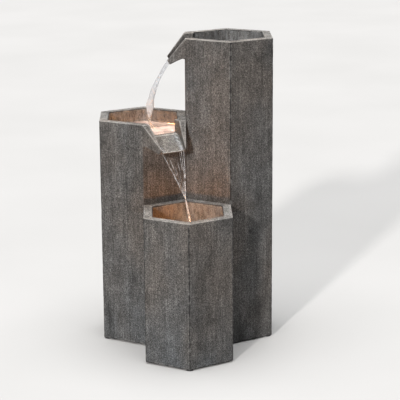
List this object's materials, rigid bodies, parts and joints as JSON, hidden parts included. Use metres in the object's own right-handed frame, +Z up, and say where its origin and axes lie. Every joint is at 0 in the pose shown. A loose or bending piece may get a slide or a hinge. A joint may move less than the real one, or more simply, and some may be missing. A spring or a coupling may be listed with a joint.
{
  "type": "tabletop water fountain",
  "caption": "Tabletop cascade fountain: joined hexagonal stone columns of stepped height, with notched spouts, basins, pump, riser hose and underwater lights.",
  "frame": {"origin": "centre of the bounding box's bottom face, on the surface that the feet stand on", "axes": "+Z up; the low column stands towards -Y with a corner to the front, the middle column towards -X and +Y, the tall column towards +X and +Y"},
  "size_m": [0.2246, 0.2268, 0.402],
  "materials": {
    "cast_stone": "rough grey cast stone with fine vertical streaks",
    "floor_stone": "rough grey cast stone",
    "black_plastic": "moulded, fine texture",
    "grey_plastic": "moulded, fine texture",
    "black_rubber": "moulded",
    "stainless": "bright, cold formed",
    "core_steel": "stacked laminations",
    "copper_winding": "enamelled wire",
    "vinyl_hose": "milky vinyl",
    "impeller_plastic": "moulded",
    "ferrite": "ground ferrite",
    "white_ceramic": "polished",
    "foam": "open-cell foam",
    "dial_plastic": "moulded",
    "circuit_board": "white solder mask with amber lamps",
    "lens": "frosted amber lens",
    "lead_jacket": "satin jacket",
    "terminal_white": "moulded"
  },
  "bodies": {
    "fountain": {"tall_column": "cast_stone", "middle_column": "cast_stone", "low_column": "cast_stone", "tall_basin_floor": "floor_stone", "middle_basin_floor": "floor_stone", "light_bracket": "black_plastic", "rubber_feet": "black_rubber", "column_bolts": "stainless", "column_nuts": "stainless", "bolt_washers": "stainless", "bolt_seals": "black_rubber", "service_frame": "grey_plastic", "gland_body": "black_plastic", "gland_nut": "black_plastic", "gland_seal": "black_rubber", "gland_cap": "black_plastic", "outlet_fitting": "black_plastic", "outlet_nut": "black_plastic", "outlet_gasket": "black_rubber", "riser_hose": "vinyl_hose", "hose_grommet": "black_rubber", "hose_clamps": "stainless", "pump_housing": "black_plastic", "stator_core": "core_steel", "stator_coil": "copper_winding", "volute_cover": "black_plastic", "impeller_shaft": "white_ceramic", "shaft_bushes": "black_rubber", "intake_foam": "foam", "intake_cover": "black_plastic", "suction_cups": "black_rubber", "pump_lead_boot": "black_rubber", "pump_lead": "lead_jacket", "lead_grommet": "black_rubber", "low_light_housing": "black_plastic", "low_light_board": "circuit_board", "low_light_seal": "black_rubber", "low_light_lens": "lens", "low_light_lead": "lead_jacket", "middle_light_housing": "black_plastic", "middle_light_board": "circuit_board", "middle_light_seal": "black_rubber", "middle_light_lens": "lens", "middle_light_lead": "lead_jacket", "middle_floor_grommet": "black_rubber", "middle_wall_grommet": "black_rubber", "junction_box": "grey_plastic", "junction_lid": "grey_plastic", "junction_screws": "stainless", "terminal_block": "terminal_white"},
    "tray": {"pump_tray": "black_plastic"},
    "cover": {"service_cover": "cast_stone"},
    "dial": {"flow_dial": "dial_plastic"},
    "rotor": {"impeller": "impeller_plastic", "rotor_magnet": "ferrite"}
  },
  "joints": [
    {"name": "tray_lift", "type": "slide", "parent": "fountain", "child": "tray", "axis": [0, 0, 1], "range_m": [0, 0.08]},
    {"name": "cover_pull", "type": "slide", "parent": "fountain", "child": "cover", "axis": [0.5, 0.866, 0], "range_m": [0, 0.03]},
    {"name": "flow_dial_turn", "type": "hinge", "parent": "fountain", "child": "dial", "pos_m": [-0.0165, -0.07734, 0.0356], "axis": [0.5, 0.866, 0], "range_deg": [0, 60]},
    {"name": "impeller_spin", "type": "hinge", "parent": "fountain", "child": "rotor", "pos_m": [0, -0.04876, 0.0356], "axis": [0.5, 0.866, 0], "continuous": true}
  ]
}
